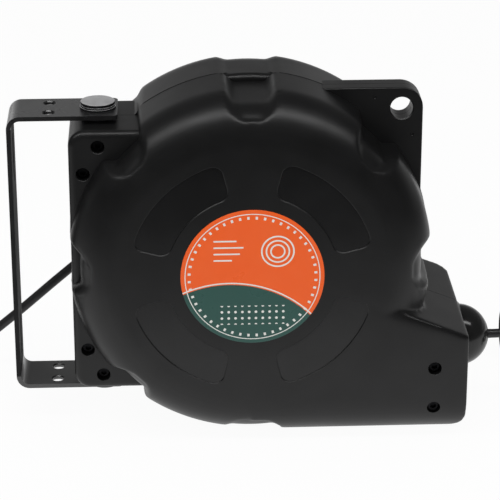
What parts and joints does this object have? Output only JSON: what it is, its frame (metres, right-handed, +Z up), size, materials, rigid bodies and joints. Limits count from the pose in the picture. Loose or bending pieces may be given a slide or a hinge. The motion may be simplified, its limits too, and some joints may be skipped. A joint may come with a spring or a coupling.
{
  "type": "extension cord reel",
  "caption": "Round black casing of a spring-rewind extension cord reel on a swivelling wall bracket, with a cable outlet, stop ball and supply lead.",
  "frame": {"origin": "on the base plane, under the drum axis, at the seam of the two shells", "axes": "+X to the cable outlet, +Y from the front face to the rear, +Z up"},
  "size_m": [0.8556, 0.2142, 0.3244],
  "materials": {
    "casing_plastic": "satin moulded black plastic",
    "black_steel": "satin black powder coat",
    "bright_steel": "bright zinc plated steel",
    "dark_steel": "dark burnished steel",
    "label_film": "printed film in orange and green",
    "ball_plastic": "glossy black plastic",
    "cable_rubber": "black flexible cable sheath",
    "connector_rubber": "black moulded rubber",
    "drum_plastic": "dark grey moulded plastic",
    "spring_steel": "blued spring strip",
    "bronze": "sintered bronze",
    "copper": "bright copper",
    "insulator": "brown moulded insulator",
    "carbon": "pressed carbon",
    "roller_plastic": "pale nylon",
    "tie_fabric": "woven hook strap"
  },
  "bodies": {
    "casing": {"front_shell": "casing_plastic", "rear_shell": "casing_plastic", "casing_screws": "dark_steel", "face_label": "label_film", "upper_pivot_bolt": "bright_steel", "lower_pivot_bolt": "bright_steel", "pivot_spacers": "drum_plastic", "pivot_sleeves": "bright_steel", "shaft": "bright_steel", "shaft_clips": "dark_steel", "spring_arbor": "bright_steel", "pawl_pin": "bright_steel", "brush_holder": "insulator", "contact_brushes": "carbon", "outlet_guide": "casing_plastic", "roller_pins": "bright_steel", "ball_stop_front": "ball_plastic", "ball_stop_rear": "ball_plastic", "ball_screws": "bright_steel", "cable_run": "cable_rubber", "cable_free": "cable_rubber", "cable_coil": "cable_rubber", "cable_tail": "cable_rubber", "cable_tie": "tie_fabric", "socket_body": "connector_rubber", "socket_insert": "drum_plastic", "hub_cover": "casing_plastic", "hub_cover_screws": "bright_steel", "lead_gland": "connector_rubber", "lead_free": "cable_rubber", "lead_coil": "cable_rubber", "lead_tail": "cable_rubber", "lead_tie": "tie_fabric", "plug_body": "connector_rubber", "plug_pins": "bright_steel"},
    "drum": {"front_flange": "drum_plastic", "rear_flange": "drum_plastic", "barrel": "drum_plastic", "flange_bushes": "bronze", "inner_layers": "cable_rubber", "wound_cable": "cable_rubber", "power_spring": "spring_steel", "ratchet_wheel": "dark_steel", "slip_ring_carrier": "insulator", "contact_rings": "copper"},
    "bracket": {"bracket": "black_steel"},
    "pawl": {"pawl": "dark_steel"},
    "upper_roller": {"upper_roller": "roller_plastic"},
    "lower_roller": {"lower_roller": "roller_plastic"}
  },
  "joints": [
    {"name": "bracket_swivel", "type": "hinge", "parent": "casing", "child": "bracket", "pos_m": [-0.133, 0, 0.163], "axis": [0, 0, 1], "range_deg": [-60, 60]},
    {"name": "drum_spin", "type": "hinge", "parent": "casing", "child": "drum", "pos_m": [0, 0, 0.163], "axis": [0, 1, 0], "continuous": true},
    {"name": "pawl_swing", "type": "hinge", "parent": "casing", "child": "pawl", "pos_m": [0, -0.0525, 0.235], "axis": [0, 1, 0], "range_deg": [0, 45], "stiffness_Nm_per_rad": 0.2},
    {"name": "upper_roller_spin", "type": "hinge", "parent": "casing", "child": "upper_roller", "pos_m": [0.14, 0, 0.07855], "axis": [0, 1, 0], "continuous": true},
    {"name": "lower_roller_spin", "type": "hinge", "parent": "casing", "child": "lower_roller", "pos_m": [0.14, 0, 0.05545], "axis": [0, 1, 0], "continuous": true}
  ],
  "couplings": [
    {"joint": "upper_roller_spin", "follows": "drum_spin", "ratio": 13.714},
    {"joint": "lower_roller_spin", "follows": "drum_spin", "ratio": -13.714}
  ]
}
